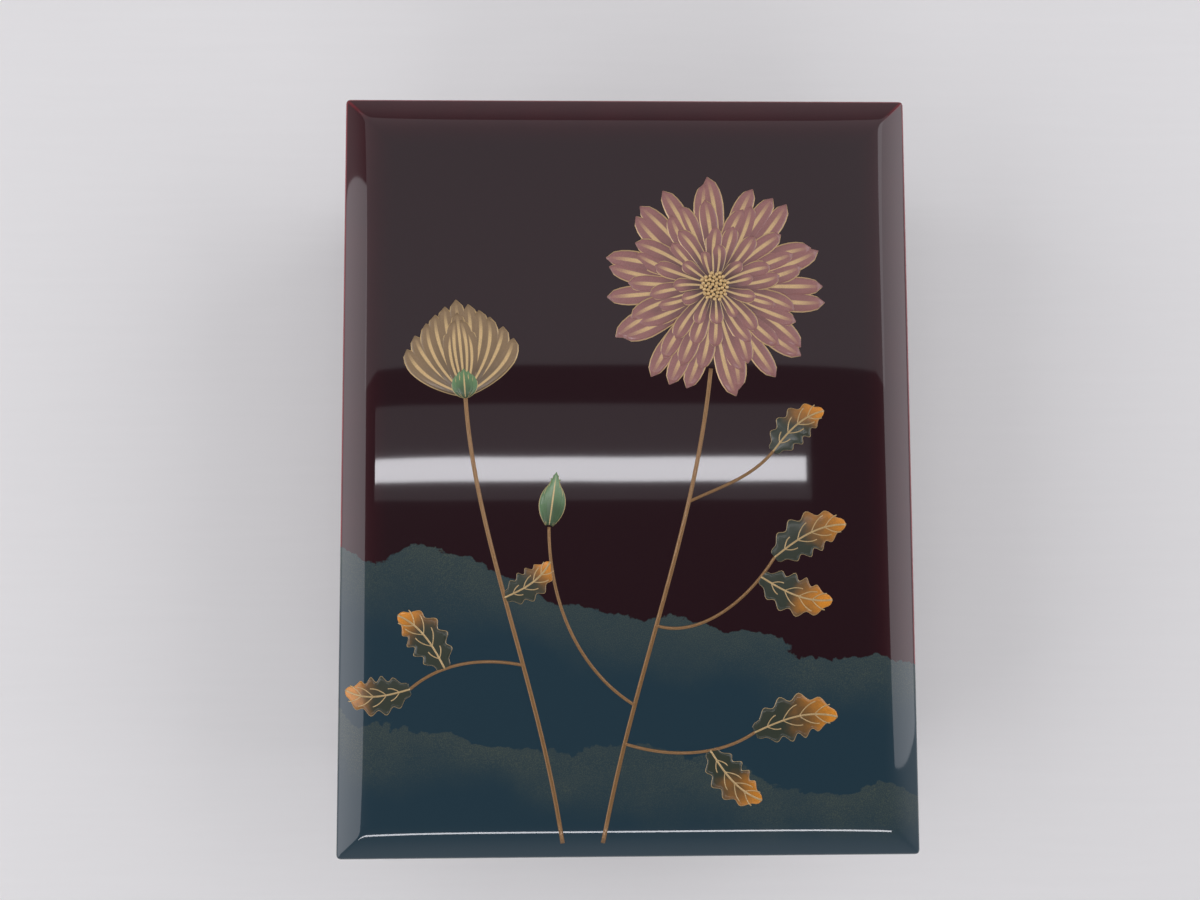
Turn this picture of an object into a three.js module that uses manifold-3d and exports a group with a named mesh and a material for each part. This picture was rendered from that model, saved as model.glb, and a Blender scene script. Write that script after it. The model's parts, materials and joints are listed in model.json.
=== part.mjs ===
// A lacquered wooden letter box for A4 sheets: a low box of four mitred boards round a grooved floor, and a
// crowned lid of four mitred boards under a carved top board, whose skirt slips over the upper half of the box.
// Millimetres, +Z up. The origin is the middle of the base. +X is the lid's width and +Y its length.
// Every mitre is locked by thin keys, let into saw kerfs across the corner, as cabinet makers lock a frame
// that lacquer will hide.
import * as THREE from "three";
import { mergeVertices } from "three/addons/utils/BufferGeometryUtils.js";
import Module from "manifold-3d";

const wasm = await Module();
wasm.setup();

// Overall sizes
const lidWidth = 264;
const lidLength = 350;
const totalHeight = 125;
const lidDepth = 68; // from the top of the crown down to the skirt's lower edge

// Boards
const lidWall = 5.5;
const boxWall = 5.5;
const floorThickness = 6;
const sideClearance = 0.8; // between the skirt's inside and the box's outside, on each side

// The lid's top board
const crownRise = 3.2; // how far the middle stands above the start of the shoulder
const crownPower = 6; // how late the crown starts to fall away
const shoulderWidth = 18;
const shoulderRadius = 40;
const edgeRadius = 1.2; // where the shoulder turns down into the side
const topEdgeBand = 1.8; // plain upright band below that turn
const plugDepth = 2.5; // how far the board reaches down inside the four walls

// Corners and edges
const lidCornerRadius = 2.5;
const boxCornerRadius = 2;
const skirtLipRadius = 1.8;
const rimRadius = 1.8;
const footRadius = 1;

// Joinery
const footHeight = 2.5; // the walls reach this far below the floor board
const grooveDepth = 2.5;
const grooveEndGap = 0.3;
const glueLine = 0.1;
const keyThickness = 1.2;
const keyWeb = 1.5; // wood left behind a key at the inside of the corner
const lidKeysPerCorner = 2;
const boxKeysPerCorner = 3;

// Facets
const cornerSegments = 8;
const edgeSegments = 4;
const crownSteps = 5;

// Places that follow from the sizes above
const shoulderDrop = shoulderRadius - Math.sqrt(shoulderRadius ** 2 - shoulderWidth ** 2);
const edgeHeight = totalHeight - crownRise - shoulderDrop - edgeRadius;
const seatHeight = edgeHeight - topEdgeBand;
const ceilingHeight = seatHeight - plugDepth;
const skirtBottom = totalHeight - lidDepth;
const floorTop = footHeight + floorThickness;
const lidHalf = { x: lidWidth / 2, y: lidLength / 2 };
const boxInset = lidWall + sideClearance;
const boxHalf = { x: lidHalf.x - boxInset, y: lidHalf.y - boxInset };

const lacquer = { color: 0x1d090e, roughness: 0.08, metalness: 0 };
const innerLacquer = { color: 0x0b090a, roughness: 0.22, metalness: 0 };
const keyWood = { color: 0xb48a5a, roughness: 0.7, metalness: 0 };

// A closed three.js geometry as a solid for joining and cutting.
function solidOf(geometry) {
  const bare = geometry.clone();
  bare.deleteAttribute("normal");
  bare.deleteAttribute("uv");
  const merged = mergeVertices(bare, 1e-4);
  return new wasm.Manifold(
    new wasm.Mesh({
      numProp: 3,
      vertProperties: new Float32Array(merged.attributes.position.array),
      triVerts: new Uint32Array(merged.index.array),
    }),
  );
}

function namedMesh(name, solid, look) {
  const cut = solid.getMesh();
  const geometry = new THREE.BufferGeometry();
  geometry.setAttribute("position", new THREE.BufferAttribute(new Float32Array(cut.vertProperties), 3));
  geometry.setIndex(new THREE.BufferAttribute(new Uint32Array(cut.triVerts), 1));
  geometry.computeVertexNormals();
  const mesh = new THREE.Mesh(geometry, new THREE.MeshStandardMaterial(look));
  mesh.name = name;
  return mesh;
}

// A plan shape raised from one height to another.
function prism(shape, low, high, curveSegments = cornerSegments) {
  const geometry = new THREE.ExtrudeGeometry(shape, { depth: high - low, bevelEnabled: false, curveSegments });
  geometry.translate(0, 0, low);
  return solidOf(geometry);
}

function shapeOf(points) {
  return new THREE.Shape(points.map(([x, y]) => new THREE.Vector2(x, y)));
}

// The plan of the lid or of the box: a rectangle with round corners.
function roundedPlan(half, radius) {
  const shape = new THREE.Shape();
  const [x, y] = [half.x - radius, half.y - radius];
  shape.moveTo(-x, -half.y);
  shape.absarc(x, -y, radius, -Math.PI / 2, 0);
  shape.absarc(x, y, radius, 0, Math.PI / 2);
  shape.absarc(-x, y, radius, Math.PI / 2, Math.PI);
  shape.absarc(-x, -y, radius, Math.PI, 1.5 * Math.PI);
  return shape;
}

// The four sides. inward and along are plan directions, chosen so that inward, up and along are right-handed.
const sides = {
  front: { inward: [0, 1], along: [1, 0], across: "y", run: "x" },
  back: { inward: [0, -1], along: [-1, 0], across: "y", run: "x" },
  left: { inward: [1, 0], along: [0, -1], across: "x", run: "y" },
  right: { inward: [-1, 0], along: [0, 1], across: "x", run: "y" },
};

// A board of one side: its section runs the whole side, then mitres, round corners and kerfs are cut.
function wallBoard(side, half, section, thickness, plan, kerfs) {
  const { inward, along, across, run } = sides[side];
  const length = 2 * half[run];
  const strip = new THREE.ExtrudeGeometry(section, {
    depth: length,
    bevelEnabled: false,
    curveSegments: edgeSegments,
  });
  strip.translate(0, 0, -length / 2);
  const outerFace = [-inward[0] * half[across], -inward[1] * half[across]];
  strip.applyMatrix4(
    new THREE.Matrix4()
      .makeBasis(
        new THREE.Vector3(...inward, 0),
        new THREE.Vector3(0, 0, 1),
        new THREE.Vector3(...along, 0),
      )
      .setPosition(...outerFace, 0),
  );

  const place = (a, s) => [
    outerFace[0] + along[0] * a + inward[0] * s,
    outerFace[1] + along[1] * a + inward[1] * s,
  ];
  const mitre = (s) => half[run] - s - glueLine;
  const outside = -thickness / 2;
  const inside = 1.5 * thickness;
  const wedge = shapeOf([
    place(-mitre(outside), outside),
    place(mitre(outside), outside),
    place(mitre(inside), inside),
    place(-mitre(inside), inside),
  ]);
  let board = solidOf(strip).intersect(prism(wedge, -1, totalHeight)).intersect(plan);
  for (const kerf of kerfs) board = board.subtract(kerf);
  return board;
}

// The heights of a corner's keys, spread evenly between two heights.
function keyHeights(count, low, high) {
  const step = (high - low) / count;
  return Array.from({ length: count }, (_, i) => low + step * (i + 0.5) - keyThickness / 2);
}

const corners = [
  ["front_left", -1, -1],
  ["front_right", 1, -1],
  ["back_right", 1, 1],
  ["back_left", -1, 1],
];

// A three-sided plate across a corner. outward grows it past the outer faces, and depth is how far it reaches
// in along the diagonal.
function cornerPlate([, sx, sy], half, depth, outward, low) {
  const tip = [half.x + outward, half.y + outward];
  const leg = Math.SQRT2 * depth + 2 * outward;
  const plate = shapeOf([
    [sx * tip[0], sy * tip[1]],
    [sx * (tip[0] - leg), sy * tip[1]],
    [sx * tip[0], sy * (tip[1] - leg)],
  ]);
  return prism(plate, low, low + keyThickness);
}

// Four mitred boards and the keys that lock them, for the lid or for the box.
function keyedFrame({ prefix, half, section, wall, cornerRadius, keysPerCorner, keyLow, keyHigh }) {
  const plan = prism(roundedPlan(half, cornerRadius), -1, totalHeight);
  const keyDepth = Math.SQRT2 * wall - keyWeb;
  const meshes = [];
  const kerfs = [];
  for (const corner of corners) {
    keyHeights(keysPerCorner, keyLow, keyHigh).forEach((low, i) => {
      const key = cornerPlate(corner, half, keyDepth, 0, low).intersect(plan);
      kerfs.push(cornerPlate(corner, half, keyDepth + glueLine, wall / 2, low));
      meshes.push(namedMesh(`${prefix}_key_${corner[0]}_${i + 1}`, key, keyWood));
    });
  }
  for (const side of Object.keys(sides)) {
    const board = wallBoard(side, half, section, wall, plan, kerfs);
    meshes.push(namedMesh(`${prefix}_${side}_wall`, board, lacquer));
  }
  return meshes;
}

// Section of a lid wall, in distance inward from the outer face and height. Its lower edge is rounded.
function skirtSection() {
  const r = skirtLipRadius;
  const shape = new THREE.Shape();
  shape.moveTo(0, seatHeight);
  shape.lineTo(0, skirtBottom + r);
  shape.absarc(r, skirtBottom + r, r, Math.PI, 1.5 * Math.PI);
  shape.absarc(lidWall - r, skirtBottom + r, r, 1.5 * Math.PI, 2 * Math.PI);
  shape.lineTo(lidWall, seatHeight);
  return shape;
}

// Section of a box wall: rounded foot, groove for the floor board, rounded rim.
function boxSection() {
  const shape = new THREE.Shape();
  const grooveBack = boxWall - grooveDepth;
  shape.absarc(footRadius, footRadius, footRadius, Math.PI, 1.5 * Math.PI);
  shape.absarc(boxWall - footRadius, footRadius, footRadius, 1.5 * Math.PI, 2 * Math.PI);
  shape.lineTo(boxWall, footHeight);
  shape.lineTo(grooveBack, footHeight);
  shape.lineTo(grooveBack, floorTop);
  shape.lineTo(boxWall, floorTop);
  shape.absarc(boxWall - rimRadius, ceilingHeight - rimRadius, rimRadius, 0, Math.PI / 2);
  shape.absarc(rimRadius, ceilingHeight - rimRadius, rimRadius, Math.PI / 2, Math.PI);
  return shape;
}

// Height of the lid's outside above a plan point: a late-falling crown, a round shoulder whose corners meet in
// mitre ridges, and a small turn at the outline.
function crownHeight(x, y) {
  const [u, v] = [Math.abs(x) / lidHalf.x, Math.abs(y) / lidHalf.y];
  const crown = crownRise * (1 - (1 - u ** crownPower) * (1 - v ** crownPower));
  const dx = lidHalf.x - Math.abs(x);
  const dy = lidHalf.y - Math.abs(y);
  const intoShoulder = Math.max(shoulderWidth - Math.min(dx, dy), 0);
  const shoulder = shoulderRadius - Math.sqrt(shoulderRadius ** 2 - intoShoulder ** 2);
  const inset = Math.min(Math.max(outlineInset(dx, dy), 0), edgeRadius);
  const turn = edgeRadius - Math.sqrt(edgeRadius ** 2 - (edgeRadius - inset) ** 2);
  return totalHeight - crown - shoulder - turn;
}

// Distance in from the rounded outline, given the distances in from the two straight sides.
function outlineInset(dx, dy) {
  const r = lidCornerRadius;
  if (dx >= r || dy >= r) return Math.min(dx, dy);
  return r - Math.hypot(r - dx, r - dy);
}

// Grid lines from edge to edge: close together in the turn and the shoulder, and wide apart over the crown.
function crownLines(half) {
  const turnSteps = [0, 0.12, 0.4, 1].map((share) => share * edgeRadius);
  const shoulderSteps = Array.from({ length: crownSteps }, (_, i) => {
    const share = (i + 1) / crownSteps;
    return edgeRadius + (shoulderWidth - edgeRadius) * share;
  });
  const reach = half - shoulderWidth;
  const middleSteps = [0.12, 0.3, 0.55, 1].map((share) => shoulderWidth + reach * share);
  const insets = [...turnSteps, ...shoulderSteps, ...middleSteps];
  const lower = insets.map((inset) => inset - half);
  const upper = insets.slice(0, -1).map((inset) => half - inset);
  return [...lower, ...upper.reverse()];
}

// A closed slab over a grid of plan lines, flat below and shaped on top. Each cell is split along the line from
// the nearest corner to the middle, so that the mitre ridges stay sharp.
function heightSlab(xs, ys, top, bottom) {
  const positions = [];
  const indices = [];
  const at = (i, j, layer) => (layer * ys.length + j) * xs.length + i;
  for (const layer of [0, 1]) {
    for (const y of ys) for (const x of xs) positions.push(x, y, layer ? top(x, y) : bottom);
  }
  const quad = (a, b, c, d) => indices.push(a, b, c, a, c, d);
  for (let j = 0; j + 1 < ys.length; j++) {
    for (let i = 0; i + 1 < xs.length; i++) {
      const sameSign = (xs[i] + xs[i + 1]) * (ys[j] + ys[j + 1]) > 0;
      const ring = [[i, j], [i + 1, j], [i + 1, j + 1], [i, j + 1]];
      if (!sameSign) ring.push(ring.shift());
      quad(...ring.map(([p, q]) => at(p, q, 1)));
      quad(...ring.reverse().map(([p, q]) => at(p, q, 0)));
    }
  }
  const [lastX, lastY] = [xs.length - 1, ys.length - 1];
  for (let i = 0; i < lastX; i++) {
    quad(at(i, 0, 0), at(i + 1, 0, 0), at(i + 1, 0, 1), at(i, 0, 1));
    quad(at(i + 1, lastY, 0), at(i, lastY, 0), at(i, lastY, 1), at(i + 1, lastY, 1));
  }
  for (let j = 0; j < lastY; j++) {
    quad(at(0, j + 1, 0), at(0, j, 0), at(0, j, 1), at(0, j + 1, 1));
    quad(at(lastX, j, 0), at(lastX, j + 1, 0), at(lastX, j + 1, 1), at(lastX, j, 1));
  }
  const geometry = new THREE.BufferGeometry();
  geometry.setAttribute("position", new THREE.Float32BufferAttribute(positions, 3));
  geometry.setIndex(indices);
  return solidOf(geometry);
}

// The carved top board: its crown covers the tops of the walls, and its plug drops between them.
function lidTopBoard() {
  const crown = heightSlab(crownLines(lidHalf.x), crownLines(lidHalf.y), crownHeight, seatHeight);
  const outline = prism(roundedPlan(lidHalf, lidCornerRadius), 0, 2 * totalHeight);
  const plugHalf = { x: lidHalf.x - lidWall - glueLine, y: lidHalf.y - lidWall - glueLine };
  const plug = new THREE.BoxGeometry(2 * plugHalf.x, 2 * plugHalf.y, plugDepth + topEdgeBand);
  plug.translate(0, 0, ceilingHeight + (plugDepth + topEdgeBand) / 2);
  return namedMesh("lid_top_board", crown.intersect(outline).add(solidOf(plug)), lacquer);
}

// The floor board, whose edges sit in the walls' grooves.
function boxFloorBoard() {
  const reach = grooveDepth - boxWall - grooveEndGap;
  const board = new THREE.BoxGeometry(2 * (boxHalf.x + reach), 2 * (boxHalf.y + reach), floorThickness);
  board.translate(0, 0, footHeight + floorThickness / 2);
  return namedMesh("box_floor_board", solidOf(board), innerLacquer);
}

const lid = new THREE.Group();
lid.add(
  lidTopBoard(),
  ...keyedFrame({
    prefix: "lid",
    half: lidHalf,
    section: skirtSection(),
    wall: lidWall,
    cornerRadius: lidCornerRadius,
    keysPerCorner: lidKeysPerCorner,
    keyLow: skirtBottom + skirtLipRadius,
    keyHigh: seatHeight,
  }),
);

const box = new THREE.Group();
box.add(
  boxFloorBoard(),
  ...keyedFrame({
    prefix: "box",
    half: boxHalf,
    section: boxSection(),
    wall: boxWall,
    cornerRadius: boxCornerRadius,
    keysPerCorner: boxKeysPerCorner,
    keyLow: floorTop,
    keyHigh: ceilingHeight - rimRadius,
  }),
);

const letterBox = new THREE.Group();
letterBox.add(box, lid);

export default letterBox;
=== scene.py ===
import json
import math

import bmesh
import bpy
from bpy.props import FloatProperty, FloatVectorProperty, PointerProperty
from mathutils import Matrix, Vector


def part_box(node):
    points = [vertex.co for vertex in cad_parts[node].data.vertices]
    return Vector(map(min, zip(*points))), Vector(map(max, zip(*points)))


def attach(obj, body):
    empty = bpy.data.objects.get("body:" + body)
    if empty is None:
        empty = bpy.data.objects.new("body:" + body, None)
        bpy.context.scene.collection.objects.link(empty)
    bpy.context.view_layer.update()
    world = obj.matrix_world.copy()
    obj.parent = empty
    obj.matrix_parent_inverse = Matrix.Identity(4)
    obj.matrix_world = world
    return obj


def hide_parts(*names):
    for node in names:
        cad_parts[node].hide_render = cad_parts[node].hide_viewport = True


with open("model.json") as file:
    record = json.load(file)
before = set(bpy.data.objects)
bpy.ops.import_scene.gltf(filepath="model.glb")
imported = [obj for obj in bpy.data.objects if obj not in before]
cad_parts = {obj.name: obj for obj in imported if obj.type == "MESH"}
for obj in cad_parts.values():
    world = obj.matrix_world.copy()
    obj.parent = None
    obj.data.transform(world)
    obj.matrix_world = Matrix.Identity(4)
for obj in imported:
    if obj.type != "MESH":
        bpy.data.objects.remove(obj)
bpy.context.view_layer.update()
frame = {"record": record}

bl_info = {
    "name": "Lacquer Letter Box",
    "version": (1, 0, 0),
    "blender": (4, 5, 0),
    "location": "3D View > Sidebar > Letter Box",
    "description": "Dresses a lacquer letter box in polished lacquer and gold-painted relief",
    "category": "Add Mesh",
}

MM = 0.001

# Places taken from the frame
TOP_BOARD_LOW, TOP_BOARD_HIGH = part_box("lid_top_board")
CROWN_TOP = TOP_BOARD_HIGH.z
CEILING = TOP_BOARD_LOW.z
SKIRT_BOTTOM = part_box("lid_front_wall")[0].z
RIM_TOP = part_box("box_front_wall")[1].z
FLOOR_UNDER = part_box("box_floor_board")[0].z
FLOOR_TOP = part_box("box_floor_board")[1].z
LID_HALF = Vector((TOP_BOARD_HIGH.x, TOP_BOARD_HIGH.y))
BOX_HALF = Vector((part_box("box_right_wall")[1].x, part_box("box_back_wall")[1].y))
LID_NODES = frame["record"]["behaviour"]["bodies"]["lid"]
BOX_NODES = frame["record"]["behaviour"]["bodies"]["box"]

# Facets of the skins
ARC_STEPS = 6
CORNER_STEPS = 6
CORNER_CROWDING = 1.5
SHOULDER_STEPS = 14
MIDDLE_STEP = 5 * MM
PLACE_DIGITS = 8

# Small forms of the skins: the inside's corners, the outline's turn and the straight bits beside an arc
INNER_CORNER_RADIUS = 0.8 * MM
INNER_FILLET = 1.2 * MM
EDGE_TURN = 1.2 * MM
BESIDE_ARC = 0.6 * MM

# How late the crown falls towards the lid's sides
CROWN_POWER = 6

# Faces along and across the patches of the relief
PETAL_GRID = (14, 6)
BUD_GRID = (12, 6)
SEPAL_GRID = (8, 6)
LEAF_GRID = (40, 8)
MIDDLE_VEIN_GRID = (24, 2)
SIDE_VEIN_GRID = (8, 2)
STEM_GRID = (90, 4)

# How deep a patch of the relief reaches, how far neighbours stand apart, and the step that finds a heading
RELIEF_BODY = 0.5 * MM
NEIGHBOUR_GAP = 0.03 * MM
HEADING_STEP = 0.01

# Where the red ground shows through: on the upper arris, on the mitre ridges and faintly over the shoulder
UPPER_BAND = (3 * MM, 1 * MM)
ARRIS_REACH = (0.2 * MM, 1.5 * MM)
RIDGE_REACH = (0.0, 1.6 * MM)
RIDGE_FADE = (1 * MM, 13 * MM)
RIDGE_STRENGTH = 0.45
SHOULDER_FADE = (0.0, 26 * MM)
SHOULDER_STRENGTH = 0.1
LOWER_STRENGTH = 0.35

# The mist: each bank's start on the lid's middle line in millimetres, its slope and its seed, then its edge
MIST_BANKS = ((-62, -0.22, 0.0), (-128, -0.12, 0.7))
MIST_WANDER = 20 * MM
MIST_TEAR = 3 * MM
MIST_LEAN = 0.8
MIST_OUTLINE = 0.7 * MM
MIST_DUST_REACH = 34 * MM

# The stage: half the table's side and each lamp's name, place and size, all in metres, and its radiance
TABLE_HALF = 2.8
LAMPS = (
    ("ceiling_panel", (0, 1.66, 2.5), (4.4, 2.5), 0.6),
    ("overhead_tube", (-0.22, 0.085, 2.5), (1.9, 0.075), 14.0),
    ("overhead_fitting", (-0.22, 0.14, 2.52), (1.96, 0.3), 0.5),
    ("front_tube", (0, -2.26, 2.5), (2.6, 0.16), 14.0),
    ("left_panel", (-2.5, -0.3, 1.5), (3.0, 2.2), 1.9),
    ("right_panel", (2.5, 0.5, 1.5), (3.0, 2.2), 1.7),
)
TURNED_LAMPS = ("left_panel", "right_panel")
LAMP_COLOUR = (0.96, 0.95, 1.0)

# The room that the lacquer reflects, how far up it darkens, and the backdrop that the camera sees
ROOM_AROUND = (0.46, 0.47, 0.5)
ROOM_ABOVE = (0.035, 0.03, 0.034)
ROOM_DARKENS = (0.35, 0.9)
BACKDROP = (0.74, 0.74, 0.75)

# The camera: an assumed lens, with a place and turn worked out from the straight edges of the lid
PHOTO_WIDTH = 1200
FOCAL_PIXELS = 902
SENSOR_WIDTH = 36
CAMERA_PLACE = Vector((-19.3, -14.5, 533.9)) * MM
CAMERA_TURN = [math.radians(degrees) for degrees in (3.259, -0.895, -0.178)]
CAMERA_NEAR = 0.01

# The decoration's layout, in millimetres from the middle of the lid
BLOOM_CENTRE = (40, 84)
SIDE_BLOOM_FOOT = (-74, 34)
BUD_FOOT = (-36, -26)
TRUNKS = (
    ((38, 46), (30, -30), (2, -90), (-12, -167)),
    ((-74, 34), (-70, -30), (-40, -95), (-30, -167)),
)
TRUNK_HALF_WIDTH = 0.95
TWIG_HALF_WIDTH = 0.7

# Each ring of the open flower, the widest first: reach, petals, half width and turn in degrees
BLOOM_RINGS = ((50, 25, 4.6, 0.0), (40, 21, 4.4, 7.0), (29, 16, 4.0, 3.0), (18, 11, 3.4, 12.0))
PETAL_START = 5

# How the open flower's petals sway from one to the next, in reach by millimetres and in bend by degrees
SWAY_STEP = 2.4
SWAY_REACH = 1.6
SWAY_BEND = 7

# The open flower's heart: florets set along a spiral, a golden angle apart
FLORETS = 46
FLORET_RADIUS = 0.92
FLORET_SPACING = 0.98
GOLDEN_ANGLE = 137.5

# Each layer of the half-open flower, the hindmost first: petals, half the fan in degrees, reach, half width
SIDE_BLOOM_LAYERS = ((9, 62, 41, 4.3), (7, 38, 44, 4.2), (5, 20, 38, 4))
SIDE_BLOOM_HEADING = 96
SIDE_PETAL_START = 3
SIDE_PETAL_FALL = 7
SIDE_PETAL_CURL = 16

# Heights as shares of the relief: the lowest ring and layer, the step to the next, a petal's rise, the heart
LOWEST_RING = 0.2
RING_STEP = 0.55
LOWEST_LAYER = 0.25
LAYER_STEP = 0.6
PETAL_RISE = 0.8
HEART_LIFT = 1.6

# Where the bud's petals and the sepals lie, from -1 at the left to 1 at the right, the hindmost first
BUD_SIDES = (-1, 1, -0.45, 0.45, 0)

# Each twig: its trunk, the share of the trunk where it leaves, two bending points and its end
TWIGS = (
    (0, 0.72, (-20, -92), (-36, -64), BUD_FOOT),
    (0, 0.55, (30, -76), (52, -62), (66, -40)),
    (1, 0.62, (-66, -84), (-84, -86), (-98, -98)),
    (0, 0.8, (14, -128), (38, -130), (56, -118)),
    (0, 0.28, (42, -8), (56, -4), (66, 8)),
)

# Each leaf: the stem that carries it, the share where it sits, its heading, length and half width
LEAVES = (
    (3, 1.0, 38, 36, 10),
    (3, 0.86, -32, 34, 9.5),
    (4, 1.0, 196, 30, 9),
    (4, 0.66, 118, 32, 9.5),
    (5, 1.0, 24, 38, 10.5),
    (5, 0.66, -58, 32, 9),
    (6, 1.0, 52, 30, 8.5),
    (1, 0.47, 24, 26, 7.5),
)
LEAF_BEND = 14
LEAF_FULLNESS = 0.6

# Where the side veins leave a leaf's middle vein, how far they turn and reach, and the half widths of both
VEIN_PLACES = (0.16, 0.36, 0.56, 0.74)
VEIN_SPREAD = 44
VEIN_REACH = 0.95
MIDDLE_VEIN_HALF_WIDTH = 0.42
SIDE_VEIN_HALF_WIDTH = 0.24

# Places of the colour sockets on a Mix node
MIX_SHARE = 0
MIX_FIRST = 6
MIX_SECOND = 7
MIX_RESULT = 2


def length(name, description, millimetres):
    return FloatProperty(name=name, description=description, default=millimetres * MM, unit="LENGTH")


def colour(name, description, value):
    limits = {"min": 0, "max": 1}
    return FloatVectorProperty(name=name, description=description, default=value, subtype="COLOR", **limits)


class LetterBoxSettings(bpy.types.PropertyGroup):
    lid_wall: length("Lid wall", "Thickness of the lid's boards", 5.5)
    box_wall: length("Box wall", "Thickness of the box's boards", 5.5)
    lid_corner: length("Lid corner", "Radius of the lid's corners in plan", 2.5)
    box_corner: length("Box corner", "Radius of the box's corners in plan", 2)
    crown_rise: length("Crown rise", "How far the middle of the lid stands above its shoulder", 3.2)
    shoulder_width: length("Shoulder width", "Width of the lid's rounded shoulder", 18)
    shoulder_radius: length("Shoulder radius", "Radius of the lid's rounded shoulder", 40)
    lip_radius: length("Lip radius", "Radius of the rounded lip and rim", 1.8)
    foot_radius: length("Foot radius", "Radius of the rounded foot", 1)
    relief: length("Relief", "How far the painted relief stands up from the lacquer", 0.22)
    lacquer: colour("Lacquer", "Thick layers of clear dark lacquer", (0.014, 0.0011, 0.0036))
    thin_lacquer: colour("Thin lacquer", "Red ground showing where the lacquer is thin", (0.3, 0.01, 0.02))
    black_lacquer: colour("Black lacquer", "Satin lacquer inside and underneath", (0.006, 0.005, 0.0055))
    mist: colour("Mist", "Slate blue of the drifting mist", (0.012, 0.036, 0.052))
    mist_dust: colour("Mist dust", "Green-gold powder along the edge of the mist", (0.085, 0.098, 0.068))
    gold: colour("Gold", "Gold powder of lines and veins", (0.72, 0.5, 0.23))
    stem_gold: colour("Stem gold", "Browner gold of the stems", (0.36, 0.19, 0.07))
    bloom: colour("Bloom", "Mauve brown of the open flower", (0.33, 0.14, 0.125))
    side_bloom: colour("Side bloom", "Brown gold of the half-open flower", (0.27, 0.17, 0.08))
    bud: colour("Bud", "Green of the small bud", (0.13, 0.26, 0.1))
    leaf: colour("Leaf", "Green black of the leaves", (0.022, 0.03, 0.016))
    leaf_tip: colour("Leaf tip", "Orange powder on the leaves", (0.85, 0.3, 0.01))
    table: colour("Table", "Pale floor", (0.86, 0.85, 0.83))


def settings():
    return bpy.context.scene.letter_box


# Shape of the lid's surface

def lid_height(x, y):
    """Height of the lid's outside over a plan point: crown, shoulder and the small turn at the outline."""
    s = settings()
    u, v = abs(x) / LID_HALF.x, abs(y) / LID_HALF.y
    crown = s.crown_rise * (1 - (1 - u**CROWN_POWER) * (1 - v**CROWN_POWER))
    dx, dy = LID_HALF.x - abs(x), LID_HALF.y - abs(y)
    into = max(s.shoulder_width - min(dx, dy), 0)
    shoulder = s.shoulder_radius - math.sqrt(s.shoulder_radius**2 - into**2)
    inset = min(dx, dy)
    if dx < s.lid_corner and dy < s.lid_corner:
        inset = s.lid_corner - math.hypot(s.lid_corner - dx, s.lid_corner - dy)
    inset = min(max(inset, 0), EDGE_TURN)
    turn = EDGE_TURN - math.sqrt(EDGE_TURN**2 - (EDGE_TURN - inset) ** 2)
    return CROWN_TOP - crown - shoulder - turn


def flat_height(height):
    return lambda x, y: height


# Skins: a grid bent to a round-cornered plan, whose edge is drawn out ring by ring along a profile

def arc(inset, height, radius, start, end):
    """Points (inset, height) of an arc, from one angle to another in degrees."""
    points = []
    for i in range(ARC_STEPS + 1):
        angle = math.radians(start + (end - start) * i / ARC_STEPS)
        points.append((inset + radius * math.cos(angle), height + radius * math.sin(angle)))
    return points


def plan_lines(half, radius, shoulder):
    """Grid lines across one plan direction, close at the corners and the shoulder."""
    insets = [radius * (i / CORNER_STEPS) ** CORNER_CROWDING for i in range(CORNER_STEPS + 1)]
    if shoulder:
        insets += [radius + (shoulder - radius) * (i + 1) / SHOULDER_STEPS for i in range(SHOULDER_STEPS)]
    start = insets[-1]
    steps = max(2, math.ceil((half - start) / MIDDLE_STEP))
    insets += [start + (half - start) * (i + 1) / steps for i in range(steps)]
    lower = [inset - half for inset in insets]
    return lower + [-place for place in reversed(lower[:-1])]


def round_corner(x, y, half, radius):
    """Moves a point near a square corner so that the rings there become arcs."""
    dx, dy = half.x - abs(x), half.y - abs(y)
    if dx >= radius or dy >= radius:
        return x, y
    reach = radius - min(dx, dy)
    toward = math.pi / 4 * (1 - (max(dx, dy) - min(dx, dy)) / reach)
    angle = toward if dx <= dy else math.pi / 2 - toward
    across = half.x - radius + reach * math.cos(angle)
    along = half.y - radius + reach * math.sin(angle)
    return math.copysign(across, x), math.copysign(along, y)


def clamp(value, limit):
    return max(-limit, min(limit, value))


def key(co):
    """Names a plan point, so that a drawn vertex finds the one it came from."""
    return round(co.x, PLACE_DIGITS), round(co.y, PLACE_DIGITS)


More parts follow.
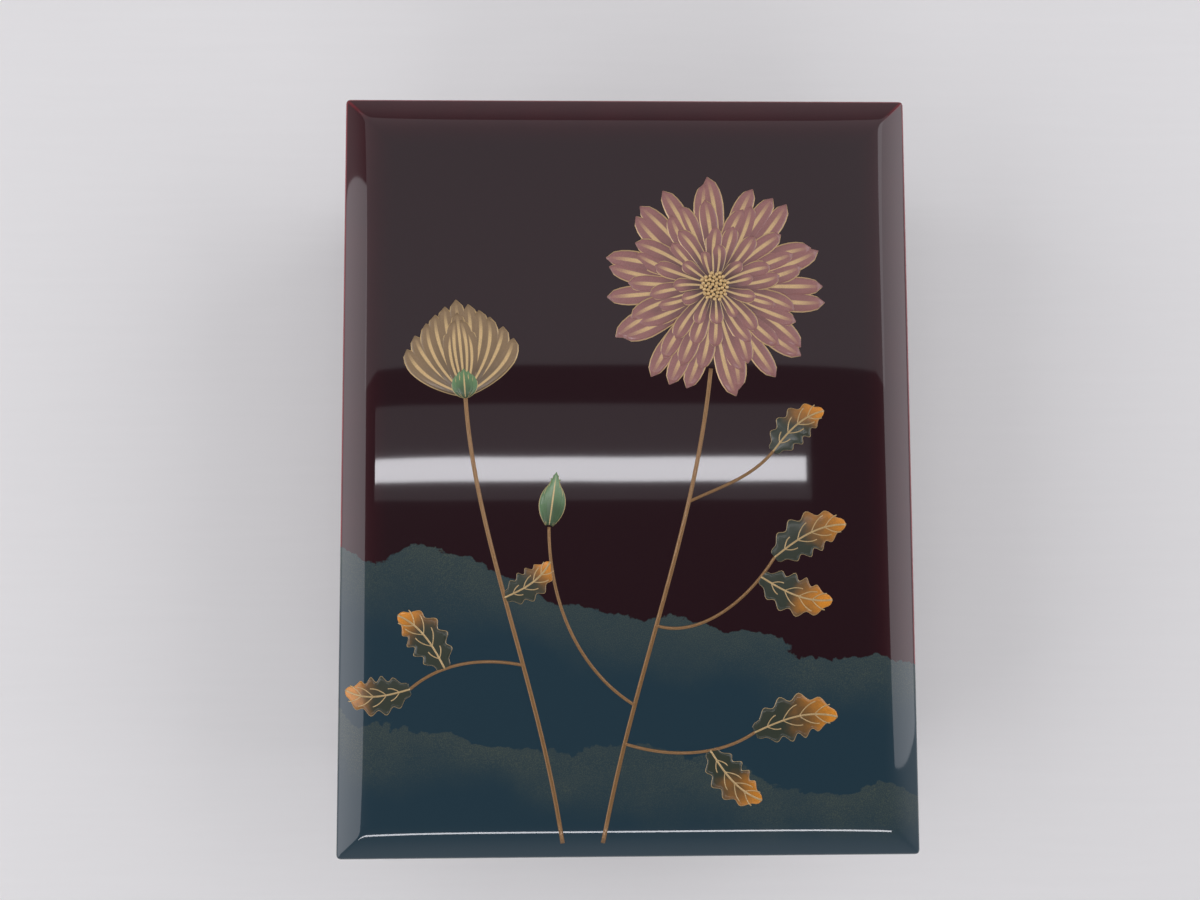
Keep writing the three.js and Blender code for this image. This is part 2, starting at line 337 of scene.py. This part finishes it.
def skin(name, start_half, start_radius, shoulder, height, outer_half, outer_radius, profile, looks):
    """A closed shell. profile holds (inset from the outer outline, height, material number)."""
    bm = bmesh.new()
    xs = plan_lines(start_half.x, start_radius, shoulder)
    ys = plan_lines(start_half.y, start_radius, shoulder)
    grid = bmesh.ops.create_grid(bm, x_segments=len(xs) - 1, y_segments=len(ys) - 1, size=1.0)
    for vert in grid["verts"]:
        i = round((vert.co.x + 1) / 2 * (len(xs) - 1))
        j = round((vert.co.y + 1) / 2 * (len(ys) - 1))
        x, y = round_corner(xs[i], ys[j], start_half, start_radius)
        vert.co = (x, y, height(x, y))
    for face in bm.faces:
        face.material_index = looks[0]

    edges = [edge for edge in bm.edges if edge.is_boundary]
    base = {key(vert.co): Vector((vert.co.x, vert.co.y)) for edge in edges for vert in edge.verts}
    straight = Vector((start_half.x - start_radius, start_half.y - start_radius))
    for inset, level, look in profile:
        drawn = bmesh.ops.extrude_edge_only(bm, edges=edges)["geom"]
        edges = [part for part in drawn if isinstance(part, bmesh.types.BMEdge)]
        radius = max(outer_radius - inset, INNER_CORNER_RADIUS)
        moved = {}
        for vert in (part for part in drawn if isinstance(part, bmesh.types.BMVert)):
            origin = base[key(vert.co)]
            place = []
            for axis in range(2):
                side = clamp(origin[axis], straight[axis])
                turn = (origin[axis] - side) / start_radius
                reach = outer_half[axis] - inset - radius
                place.append(side * reach / straight[axis] + turn * radius)
            vert.co = (place[0], place[1], level)
            moved[key(vert.co)] = origin
        for face in (part for part in drawn if isinstance(part, bmesh.types.BMFace)):
            face.material_index = look
        base = moved
    last = bmesh.ops.edgeloop_fill(bm, edges=[edge for edge in bm.edges if edge.is_boundary])["faces"]
    for face in last:
        face.material_index = looks[1]
    bmesh.ops.recalc_face_normals(bm, faces=bm.faces)
    for face in bm.faces:
        face.smooth = True
    return mesh_object(name, bm)


def mesh_object(name, bm):
    mesh = bpy.data.meshes.new(name)
    bm.to_mesh(mesh)
    bm.free()
    made = bpy.data.objects.new(name, mesh)
    bpy.context.scene.collection.objects.link(made)
    return made


def with_look(points, look):
    return [(inset, height, look) for inset, height in points]


# Relief: narrow patches laid along a line on the lid, for petals, leaves, stems and veins

def relief(bm, line, half_width, lift, rise, grid):
    """Adds a patch whose middle follows line(t) and whose half width is half_width(t), t from 0 to 1."""
    along, across = grid
    uv = bm.loops.layers.uv.verify()
    verts = bmesh.ops.create_grid(bm, x_segments=across, y_segments=along, size=1.0)["verts"]
    shares = {vert: (vert.co.x, (vert.co.y + 1) / 2) for vert in verts}
    for face in {face for vert in verts for face in vert.link_faces}:
        face.smooth = True
        for loop in face.loops:
            side, t = shares[loop.vert]
            loop[uv].uv = ((side + 1) / 2, t)
    for vert, (side, t) in shares.items():
        run = (line(min(t + HEADING_STEP, 1)) - line(max(t - HEADING_STEP, 0))).normalized()
        place = line(t) + Vector((run.y, -run.x)) * side * half_width(t)
        stand = lift + rise * (1 - side * side)
        vert.co = (place.x, place.y, lid_height(place.x, place.y) + stand)


def curve(*points):
    """A Bezier curve of four plan points in millimetres, as a function from 0 to 1."""
    a, b, c, d = (Vector(point) * MM for point in points)
    return lambda t: a * (1 - t) ** 3 + b * 3 * t * (1 - t) ** 2 + c * 3 * t * t * (1 - t) + d * t**3


def ray(centre, degrees, start, end, bend=0):
    """A line from one distance to another out of a centre, curving by bend degrees towards its end."""
    middle = Vector(centre) * MM

    def place(t):
        angle = math.radians(degrees + bend * t * t)
        return middle + Vector((math.cos(angle), math.sin(angle))) * (start + (end - start) * t) * MM

    return place


def petal_width(widest, foot=0.42, widest_at=0.72, swell=0.8, least=0.05):
    """Half width along a petal: narrow at its foot, widest near its rounded tip."""
    def width(t):
        body = foot + (1 - foot) * min(t / widest_at, 1) ** swell
        tip = math.sqrt(max(1 - ((t - widest_at) / (1 - widest_at)) ** 2, 0)) if t > widest_at else 1
        return widest * MM * body * max(tip, least)

    return width


def pointed_width(widest, foot=0.1, fullness=0.75, least=0.04):
    """Half width along a pointed petal or sepal."""
    def width(t):
        body = math.sin(math.pi * min(foot + (1 - foot) * t, 1)) ** fullness
        return widest * MM * max(body, least)

    return width


def leaf_width(widest, lobes=5, foot=0.03, fullness=LEAF_FULLNESS, notch=0.15, least=0.04):
    """Half width along a lobed leaf."""
    def width(t):
        body = math.sin(math.pi * min(foot + (1 - foot) * t, 1)) ** fullness
        lobe = 1 - notch + notch * math.cos(2 * math.pi * lobes * t)
        return widest * MM * max(body * lobe, least)

    return width


def even_width(half):
    return lambda t: half * MM


def relief_object(bm, name, material):
    """Makes a piece of the patches, gives them thickness and lets them ride the lid."""
    made = mesh_object(name, bm)
    made.data.materials.append(material)
    thickness = made.modifiers.new("thickness", "SOLIDIFY")
    thickness.thickness = RELIEF_BODY
    thickness.offset = -1
    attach(made, "lid")
    return made


# Materials

def node(tree, kind, values=(), **options):
    """Adds a node, sets its options and then links or sets its sockets."""
    made = tree.nodes.new(kind)
    for option, value in options.items():
        setattr(made, option, value)
    for socket, value in dict(values).items():
        if isinstance(value, bpy.types.NodeSocket):
            tree.links.new(value, made.inputs[socket])
        else:
            made.inputs[socket].default_value = value
    return made


def calculate(tree, operation, *values):
    return node(tree, "ShaderNodeMath", dict(enumerate(values)), operation=operation).outputs[0]


def between(tree, value, low, high):
    """Spreads a value of 0 to 1 from low to high."""
    return calculate(tree, "MULTIPLY_ADD", value, high - low, low)


def rising(tree, value, low, high):
    """0 below low, 1 above high and smooth between."""
    values = {"Value": value, "From Min": low, "From Max": high}
    return node(tree, "ShaderNodeMapRange", values, interpolation_type="SMOOTHSTEP").outputs["Result"]


def falling(tree, value, low, high):
    """1 below low, 0 above high and smooth between."""
    return calculate(tree, "SUBTRACT", 1.0, rising(tree, value, low, high))


def blend(tree, share, first, second):
    """The first colour where share is 0, the second where it is 1."""
    values = {MIX_SHARE: share, MIX_FIRST: first, MIX_SECOND: second}
    return node(tree, "ShaderNodeMix", values, data_type="RGBA").outputs[MIX_RESULT]


def opaque(tone):
    return (*tone, 1.0)


def scaled(tone, share):
    """A colour made darker or lighter, with no channel above 1."""
    return tuple(min(share * channel, 1) for channel in tone)


def grain(tree, place, scale, detail=2.0):
    return node(tree, "ShaderNodeTexNoise", {"Vector": place, "Scale": scale, "Detail": detail}).outputs[0]


def new_material(name, roughness, coat, coat_roughness):
    material = bpy.data.materials.new(name)
    material.use_nodes = True
    tree = material.node_tree
    shader = tree.nodes["Principled BSDF"]
    shader.inputs["Roughness"].default_value = roughness
    shader.inputs["Coat Weight"].default_value = coat
    shader.inputs["Coat Roughness"].default_value = coat_roughness
    return material, tree, shader


def add_bump(tree, shader, height, strength, distance):
    """Gives the body and its clear coat the same fine unevenness."""
    values = {"Height": height, "Strength": strength, "Distance": distance}
    normal = node(tree, "ShaderNodeBump", values).outputs[0]
    tree.links.new(normal, shader.inputs["Normal"])
    tree.links.new(normal, shader.inputs["Coat Normal"])


def object_place(tree):
    """The place on the object, whole and as x, y and z."""
    place = node(tree, "ShaderNodeTexCoord").outputs["Object"]
    split = node(tree, "ShaderNodeSeparateXYZ", {0: place})
    return place, split.outputs["X"], split.outputs["Y"], split.outputs["Z"]


def mist_edge(tree, place, x, down, start, slope, seed):
    """Where the mist ends: a slanting line, wandering and finely torn, that runs forward down the skirt."""
    shifted = node(tree, "ShaderNodeVectorMath", {0: place, 1: (seed, 0, 0)}, operation="ADD").outputs[0]
    wander = between(tree, grain(tree, shifted, scale=22.0), -MIST_WANDER, MIST_WANDER)
    torn = between(tree, grain(tree, shifted, scale=260.0, detail=4.0), -MIST_TEAR, MIST_TEAR)
    line = calculate(tree, "MULTIPLY_ADD", x, slope, start * MM)
    line = calculate(tree, "MULTIPLY_ADD", down, MIST_LEAN, line)
    return calculate(tree, "ADD", calculate(tree, "ADD", line, wander), torn)


def laid_mist(tree, body, place, x, y, down):
    """Lays the banks of mist over the lacquer's colour, with powder that thins out behind each edge."""
    s = settings()
    speck = rising(tree, grain(tree, place, scale=2600.0, detail=0.0), 0.5, 0.68)
    cloud = between(tree, grain(tree, place, scale=45.0, detail=4.0), 0.1, 1.2)
    for start, slope, seed in MIST_BANKS:
        depth = calculate(tree, "SUBTRACT", mist_edge(tree, place, x, down, start, slope, seed), y)
        dust = calculate(tree, "MULTIPLY", falling(tree, depth, 0.0, MIST_DUST_REACH), cloud)
        dust = calculate(tree, "MULTIPLY", dust, between(tree, speck, 0.35, 0.95))
        dusted = blend(tree, dust, opaque(s.mist), opaque(s.mist_dust))
        inside = rising(tree, depth, 0.0, MIST_OUTLINE)
        body = blend(tree, inside, body, dusted)
    return body


def lacquer_material(name, half, edge_height, with_mist):
    """Clear dark lacquer over red: red shows where it is thin, on the top edge and the mitre ridges."""
    s = settings()
    material, tree, shader = new_material(name, roughness=0.5, coat=1.0, coat_roughness=0.035)
    shader.inputs["Specular IOR Level"].default_value = 0.12
    place, x, y, z = object_place(tree)
    dx = calculate(tree, "SUBTRACT", half.x, calculate(tree, "ABSOLUTE", x))
    dy = calculate(tree, "SUBTRACT", half.y, calculate(tree, "ABSOLUTE", y))
    side = calculate(tree, "MINIMUM", dx, dy)
    upper = rising(tree, z, edge_height - UPPER_BAND[0], edge_height - UPPER_BAND[1])
    arris = calculate(tree, "MULTIPLY", falling(tree, side, *ARRIS_REACH), upper)
    off_ridge = calculate(tree, "ABSOLUTE", calculate(tree, "SUBTRACT", dx, dy))
    near_ridge = falling(tree, off_ridge, *RIDGE_REACH)
    ridge = calculate(tree, "MULTIPLY", near_ridge, falling(tree, side, *RIDGE_FADE))
    ridge = calculate(tree, "MULTIPLY", ridge, RIDGE_STRENGTH)
    tint = calculate(tree, "MULTIPLY", falling(tree, side, *SHOULDER_FADE), SHOULDER_STRENGTH)
    tint = calculate(tree, "MULTIPLY", tint, between(tree, upper, LOWER_STRENGTH, 1.0))
    thin = calculate(tree, "ADD", calculate(tree, "MAXIMUM", arris, ridge), tint)
    mottle = between(tree, grain(tree, place, scale=60.0), 0.7, 1.3)
    thin = calculate(tree, "MINIMUM", calculate(tree, "MULTIPLY", thin, mottle), 1.0)
    body = blend(tree, thin, opaque(s.lacquer), opaque(s.thin_lacquer))
    if with_mist:
        down = calculate(tree, "MINIMUM", calculate(tree, "SUBTRACT", z, edge_height), 0.0)
        body = laid_mist(tree, body, place, x, y, down)
    tree.links.new(body, shader.inputs["Base Color"])
    add_bump(tree, shader, grain(tree, place, scale=18.0, detail=1.0), strength=0.06, distance=0.4 * MM)
    return material


def black_lacquer_material():
    """Satin black lacquer, very slightly uneven in tone."""
    s = settings()
    material, tree, shader = new_material("satin_black_lacquer", roughness=0.3, coat=0.4, coat_roughness=0.12)
    place = object_place(tree)[0]
    lighter = (0.013, 0.011, 0.012)
    soft = blend(tree, grain(tree, place, scale=35.0), opaque(s.black_lacquer), opaque(lighter))
    tree.links.new(soft, shader.inputs["Base Color"])
    add_bump(tree, shader, grain(tree, place, scale=120.0, detail=3.0), strength=0.08, distance=0.3 * MM)
    return material


def painted_material(name, body, shade, rib, rim, start=0.0, end=0.9):
    """Powdered colour under a thin clear coat, with a gold midrib and rim that follow the patch."""
    s = settings()
    material, tree, shader = new_material(name, roughness=0.4, coat=0.35, coat_roughness=0.08)
    place = object_place(tree)[0]
    uv = node(tree, "ShaderNodeTexCoord").outputs["UV"]
    split = node(tree, "ShaderNodeSeparateXYZ", {0: uv})
    off_middle = calculate(tree, "ABSOLUTE", calculate(tree, "SUBTRACT", split.outputs["X"], 0.5))
    along = split.outputs["Y"]
    powder = grain(tree, place, scale=2400.0, detail=1.0)
    drift = between(tree, grain(tree, place, scale=90.0, detail=3.0), -0.3, 0.3)
    share = rising(tree, calculate(tree, "ADD", along, drift), start, end)
    share = calculate(tree, "MULTIPLY", share, between(tree, powder, 0.5, 1.2))
    tone = blend(tree, calculate(tree, "MINIMUM", share, 1.0), opaque(shade), opaque(body))
    midrib = falling(tree, off_middle, 0.5 * rib, rib)
    midrib = calculate(tree, "MULTIPLY", midrib, falling(tree, along, 0.7, 1.0))
    edge = rising(tree, off_middle, rim, rim + 0.02)
    gilt = calculate(tree, "MAXIMUM", midrib, edge)
    gilt = calculate(tree, "MULTIPLY", gilt, between(tree, powder, 0.45, 1.15))
    gilt = calculate(tree, "MINIMUM", gilt, 1.0)
    tree.links.new(blend(tree, gilt, tone, opaque(s.gold)), shader.inputs["Base Color"])
    tree.links.new(calculate(tree, "MULTIPLY", gilt, 0.35), shader.inputs["Metallic"])
    add_bump(tree, shader, powder, strength=0.12, distance=0.1 * MM)
    return material


def gold_material(name, tone, roughness=0.34):
    """Gold powder, its grains darker and lighter."""
    material, tree, shader = new_material(name, roughness, coat=0.2, coat_roughness=0.1)
    place = object_place(tree)[0]
    powder = grain(tree, place, scale=2200.0, detail=2.0)
    powdered = blend(tree, powder, opaque(scaled(tone, 0.45)), opaque(tone))
    tree.links.new(powdered, shader.inputs["Base Color"])
    shader.inputs["Metallic"].default_value = 0.35
    add_bump(tree, shader, powder, strength=0.15, distance=0.1 * MM)
    return material


def table_material():
    """Pale wood whose grain is only hinted at."""
    s = settings()
    material, tree, shader = new_material("pale_table", roughness=0.55, coat=0.0, coat_roughness=0.1)
    place = object_place(tree)[0]
    along_grain = (1.5, 22.0, 1.0)
    stretched = node(tree, "ShaderNodeMapping", {"Vector": place, "Scale": along_grain}).outputs[0]
    faint = calculate(tree, "MULTIPLY", grain(tree, stretched, scale=9.0, detail=6.0), 0.22)
    grained = blend(tree, faint, opaque(s.table), opaque(scaled(s.table, 0.86)))
    tree.links.new(grained, shader.inputs["Base Color"])
    return material


def stem_lines():
    """The trunks and then the twigs, each as a function from 0 to 1."""
    trunks = [curve(*points) for points in TRUNKS]
    twigs = [curve(trunks[trunk](share) / MM, out, back, end) for trunk, share, out, back, end in TWIGS]
    return trunks + twigs


class LETTERBOX_OT_lid(bpy.types.Operator):
    """Model the lid's seamless lacquer skin over its boards"""

    bl_idname = "letterbox.lid"
    bl_label = "Lid Lacquer"

    def execute(self, context):
        s = settings()
        lip = s.lip_radius
        edge = lid_height(LID_HALF.x, 0)
        lip_top = SKIRT_BOTTOM + lip
        outside = [(0, edge - BESIDE_ARC), (0, lip_top + BESIDE_ARC)]
        outside += arc(lip, lip_top, lip, 180, 270)
        outside += arc(s.lid_wall - lip, lip_top, lip, 270, 360)
        inside = [(s.lid_wall, lip_top + BESIDE_ARC), (s.lid_wall, CEILING - 2 * INNER_FILLET)]
        inside += arc(s.lid_wall + INNER_FILLET, CEILING - INNER_FILLET, INNER_FILLET, 180, 90)
        inside.append((s.lid_wall + 3 * INNER_FILLET, CEILING))
        profile = with_look(outside, 0) + with_look(inside, 1)
        lid = skin(
            "lid_lacquer", LID_HALF, s.lid_corner, s.shoulder_width, lid_height, LID_HALF, s.lid_corner,
            profile, (0, 1),
        )
        lid.data.materials.append(lacquer_material("lid_lacquer", LID_HALF, edge, with_mist=True))
        lid.data.materials.append(black_lacquer_material())
        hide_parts(*LID_NODES)
        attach(lid, "lid")
        return {"FINISHED"}


class LETTERBOX_OT_box(bpy.types.Operator):
    """Model the box's seamless lacquer skin over its boards"""

    bl_idname = "letterbox.box"
    bl_label = "Box Lacquer"

    def execute(self, context):
        s = settings()
        rim, foot, wall = s.lip_radius, s.foot_radius, s.box_wall
        start_inset = wall + INNER_FILLET
        inside = arc(start_inset, FLOOR_TOP + INNER_FILLET, INNER_FILLET, 270, 180)[1:]
        inside += [(wall, FLOOR_TOP + 2 * INNER_FILLET), (wall, RIM_TOP - rim - BESIDE_ARC)]
        outside = arc(wall - rim, RIM_TOP - rim, rim, 0, 90)
        outside += arc(rim, RIM_TOP - rim, rim, 90, 180)
        outside += [(0, RIM_TOP - rim - BESIDE_ARC), (0, foot + BESIDE_ARC)]
        outside += arc(foot, foot, foot, 180, 270)
        outside += arc(wall - foot, foot, foot, 270, 360)
        under = [(wall, FLOOR_UNDER), (wall + INNER_FILLET, FLOOR_UNDER)]
        profile = with_look(inside, 1) + with_look(outside, 0) + with_look(under, 1)
        box = skin(
            "box_lacquer", BOX_HALF - Vector((start_inset, start_inset)), INNER_CORNER_RADIUS, 0,
            flat_height(FLOOR_TOP), BOX_HALF, s.box_corner, profile, (1, 1),
        )
        box.data.materials.append(lacquer_material("box_lacquer", BOX_HALF, RIM_TOP, with_mist=False))
        box.data.materials.append(bpy.data.materials["satin_black_lacquer"])
        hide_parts(*BOX_NODES)
        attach(box, "box")
        return {"FINISHED"}


class LETTERBOX_OT_bloom(bpy.types.Operator):
    """Lay the open many-petalled flower and its gold heart on the lid"""

    bl_idname = "letterbox.bloom"
    bl_label = "Open Flower"

    def execute(self, context):
        s = settings()
        petals = bmesh.new()
        for ring, (reach, count, widest, turn) in enumerate(BLOOM_RINGS):
            for i in range(count):
                sway = math.sin(i * SWAY_STEP + ring)
                heading = turn + 360 * i / count
                tip = reach + SWAY_REACH * sway
                line = ray(BLOOM_CENTRE, heading, PETAL_START, tip, bend=SWAY_BEND * sway)
                lift = s.relief * (LOWEST_RING + RING_STEP * ring) + NEIGHBOUR_GAP * (i % 3)
                relief(petals, line, petal_width(widest), lift, s.relief * PETAL_RISE, PETAL_GRID)
        material = painted_material("mauve_petal", s.bloom, scaled(s.bloom, 0.22), rib=0.13, rim=0.43)
        relief_object(petals, "open_flower_petals", material)

        heart = bmesh.new()
        for i in range(FLORETS):
            reach = FLORET_SPACING * math.sqrt(i + 0.5)
            angle = i * math.radians(GOLDEN_ANGLE)
            x = BLOOM_CENTRE[0] * MM + reach * MM * math.cos(angle)
            y = BLOOM_CENTRE[1] * MM + reach * MM * math.sin(angle)
            floret = bmesh.ops.create_icosphere(heart, subdivisions=2, radius=FLORET_RADIUS * MM)["verts"]
            bmesh.ops.translate(heart, verts=floret, vec=(x, y, lid_height(x, y) + HEART_LIFT * s.relief))
        for face in heart.faces:
            face.smooth = True
        made = mesh_object("open_flower_heart", heart)
        made.data.materials.append(gold_material("heart_gold", scaled(s.gold, 1.3), roughness=0.28))
        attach(made, "lid")
        return {"FINISHED"}


class LETTERBOX_OT_side_bloom(bpy.types.Operator):
    """Lay the half-open flower and the small bud on the lid"""

    bl_idname = "letterbox.side_bloom"
    bl_label = "Half-Open Flower and Bud"

    def execute(self, context):
        s = settings()
        flower = bmesh.new()
        for layer, (count, spread, reach, widest) in enumerate(SIDE_BLOOM_LAYERS):
            for i in range(count):
                share = 2 * i / (count - 1) - 1
                heading = SIDE_BLOOM_HEADING + spread * share
                tip = reach - SIDE_PETAL_FALL * abs(share)
                line = ray(SIDE_BLOOM_FOOT, heading, SIDE_PETAL_START, tip, bend=-SIDE_PETAL_CURL * share)
                lift = s.relief * (LOWEST_LAYER + LAYER_STEP * layer) + NEIGHBOUR_GAP * (i % 2)
                relief(flower, line, petal_width(widest), lift, s.relief * PETAL_RISE, PETAL_GRID)
        material = painted_material(
            "brown_petal", s.side_bloom, scaled(s.side_bloom, 0.4), rib=0.12, rim=0.43
        )
        relief_object(flower, "half_open_flower", material)

        green = bmesh.new()
        for share in BUD_SIDES:
            outward = abs(share)
            line = ray(BUD_FOOT, 82 + 20 * share, start=1, end=25 - 3 * outward, bend=-26 * share)
            lift = s.relief * (1.2 - 0.8 * outward)
            relief(green, line, pointed_width(3.4), lift, s.relief * 0.9, BUD_GRID)
            line = ray(SIDE_BLOOM_FOOT, 94 + 42 * share, start=-1, end=12 - 2 * outward, bend=-20 * share)
            lift = s.relief * (2.4 - outward)
            relief(green, line, pointed_width(3.2), lift, s.relief, SEPAL_GRID)
        material = painted_material("bud_green", s.bud, scaled(s.bud, 0.3), rib=0.07, rim=0.45)
        relief_object(green, "green_bud_and_sepals", material)
        return {"FINISHED"}


class LETTERBOX_OT_leaves(bpy.types.Operator):
    """Lay the lobed leaves and their gold veins on the lid"""

    bl_idname = "letterbox.leaves"
    bl_label = "Leaves"

    def execute(self, context):
        s = settings()
        blades, veins = bmesh.new(), bmesh.new()
        lines = stem_lines()
        for i, (stem, share, degrees, reach, widest) in enumerate(LEAVES):
            bend = LEAF_BEND if i % 2 else -LEAF_BEND
            foot = lines[stem](share) / MM
            middle = ray(foot, degrees, 0, reach, bend)
            width = leaf_width(widest)
            relief(blades, middle, width, lift=s.relief * 0.3, rise=s.relief * 0.6, grid=LEAF_GRID)
            width = even_width(MIDDLE_VEIN_HALF_WIDTH)
            relief(veins, middle, width, lift=s.relief * 0.95, rise=s.relief * 0.25, grid=MIDDLE_VEIN_GRID)
            for place in VEIN_PLACES:
                foot_point = middle(place) / MM
                run = (middle(place + 2 * HEADING_STEP) - middle(place)).normalized()
                heading = math.degrees(math.atan2(run.y, run.x))
                reach_out = widest * VEIN_REACH * math.sin(math.pi * place) ** LEAF_FULLNESS
                width = even_width(SIDE_VEIN_HALF_WIDTH)
                for turn in (-1, 1):
                    vein = ray(foot_point, heading + VEIN_SPREAD * turn, 0, reach_out, -LEAF_BEND * turn)
                    relief(veins, vein, width, lift=s.relief * 0.85, rise=s.relief * 0.2, grid=SIDE_VEIN_GRID)
        material = painted_material(
            "leaf_lacquer", s.leaf_tip, s.leaf, rib=0.001, rim=0.475, start=0.42, end=1.1
        )
        relief_object(blades, "leaves", material)
        relief_object(veins, "leaf_veins", gold_material("vein_gold", s.gold))
        return {"FINISHED"}


class LETTERBOX_OT_stems(bpy.types.Operator):
    """Lay the thin gold stems on the lid"""

    bl_idname = "letterbox.stems"
    bl_label = "Stems"

    def execute(self, context):
        s = settings()
        stems = bmesh.new()
        for i, line in enumerate(stem_lines()):
            half = TRUNK_HALF_WIDTH if i < len(TRUNKS) else TWIG_HALF_WIDTH
            relief(stems, line, even_width(half), lift=s.relief * 0.15, rise=s.relief * 0.9, grid=STEM_GRID)
        relief_object(stems, "stems", gold_material("stem_gold", s.stem_gold))
        return {"FINISHED"}


# Stage

def add_table():
    floor = bmesh.new()
    bmesh.ops.create_grid(floor, x_segments=2, y_segments=2, size=TABLE_HALF)
    table = mesh_object("table", floor)
    table.data.materials.append(table_material())


def add_lamps(scene):
    """Lamps face straight down, apart from the turned ones, which face the box."""
    for name, place, size, radiance in LAMPS:
        lamp = bpy.data.lights.new(name, "AREA")
        lamp.shape = "RECTANGLE"
        lamp.size, lamp.size_y = size
        lamp.energy = radiance * math.pi * size[0] * size[1]
        lamp.color = LAMP_COLOUR
        made = bpy.data.objects.new(name, lamp)
        scene.collection.objects.link(made)
        made.location = place
        if name in TURNED_LAMPS:
            made.rotation_euler = Vector(place).to_track_quat("Z", "Y").to_euler()


def add_room(scene):
    """A room that is dark overhead, behind a pale backdrop that only the camera sees."""
    world = bpy.data.worlds.new("soft_room")
    scene.world = world
    world.use_nodes = True
    tree = world.node_tree
    background = tree.nodes["Background"]
    direction = node(tree, "ShaderNodeTexCoord").outputs["Generated"]
    upward = node(tree, "ShaderNodeSeparateXYZ", {0: direction}).outputs["Z"]
    overhead = rising(tree, upward, *ROOM_DARKENS)
    room = blend(tree, overhead, opaque(ROOM_AROUND), opaque(ROOM_ABOVE))
    seen = node(tree, "ShaderNodeLightPath").outputs["Is Camera Ray"]
    shown = blend(tree, seen, room, opaque(BACKDROP))
    tree.links.new(shown, background.inputs["Color"])


def add_camera(scene):
    lens = bpy.data.cameras.new("camera")
    lens.sensor_width = SENSOR_WIDTH
    lens.lens = FOCAL_PIXELS / PHOTO_WIDTH * SENSOR_WIDTH
    lens.clip_start = CAMERA_NEAR
    camera = bpy.data.objects.new("camera", lens)
    scene.collection.objects.link(camera)
    camera.location = CAMERA_PLACE
    camera.rotation_euler = CAMERA_TURN
    scene.camera = camera


class LETTERBOX_OT_stage(bpy.types.Operator):
    """Set the pale table, the soft lights and the camera"""

    bl_idname = "letterbox.stage"
    bl_label = "Stage"

    def execute(self, context):
        add_table()
        add_lamps(context.scene)
        add_room(context.scene)
        add_camera(context.scene)
        context.scene.view_settings.view_transform = "Standard"
        return {"FINISHED"}


STEPS = (
    LETTERBOX_OT_lid,
    LETTERBOX_OT_box,
    LETTERBOX_OT_bloom,
    LETTERBOX_OT_side_bloom,
    LETTERBOX_OT_leaves,
    LETTERBOX_OT_stems,
    LETTERBOX_OT_stage,
)


class LETTERBOX_PT_panel(bpy.types.Panel):
    bl_label = "Letter Box"
    bl_idname = "LETTERBOX_PT_panel"
    bl_space_type = "VIEW_3D"
    bl_region_type = "UI"
    bl_category = "Letter Box"

    def draw(self, context):
        column = self.layout.column(align=True)
        for name in LetterBoxSettings.__annotations__:
            column.prop(context.scene.letter_box, name)
        for step in STEPS:
            column.operator(step.bl_idname)


CLASSES = (LetterBoxSettings, *STEPS, LETTERBOX_PT_panel)


def register():
    for item in CLASSES:
        bpy.utils.register_class(item)
    bpy.types.Scene.letter_box = PointerProperty(type=LetterBoxSettings)


def unregister():
    del bpy.types.Scene.letter_box
    for item in reversed(CLASSES):
        bpy.utils.unregister_class(item)


def main():
    register()
    bpy.ops.letterbox.lid()
    bpy.ops.letterbox.box()
    bpy.ops.letterbox.bloom()
    bpy.ops.letterbox.side_bloom()
    bpy.ops.letterbox.leaves()
    bpy.ops.letterbox.stems()
    bpy.ops.letterbox.stage()


if __name__ == "__main__":
    main()
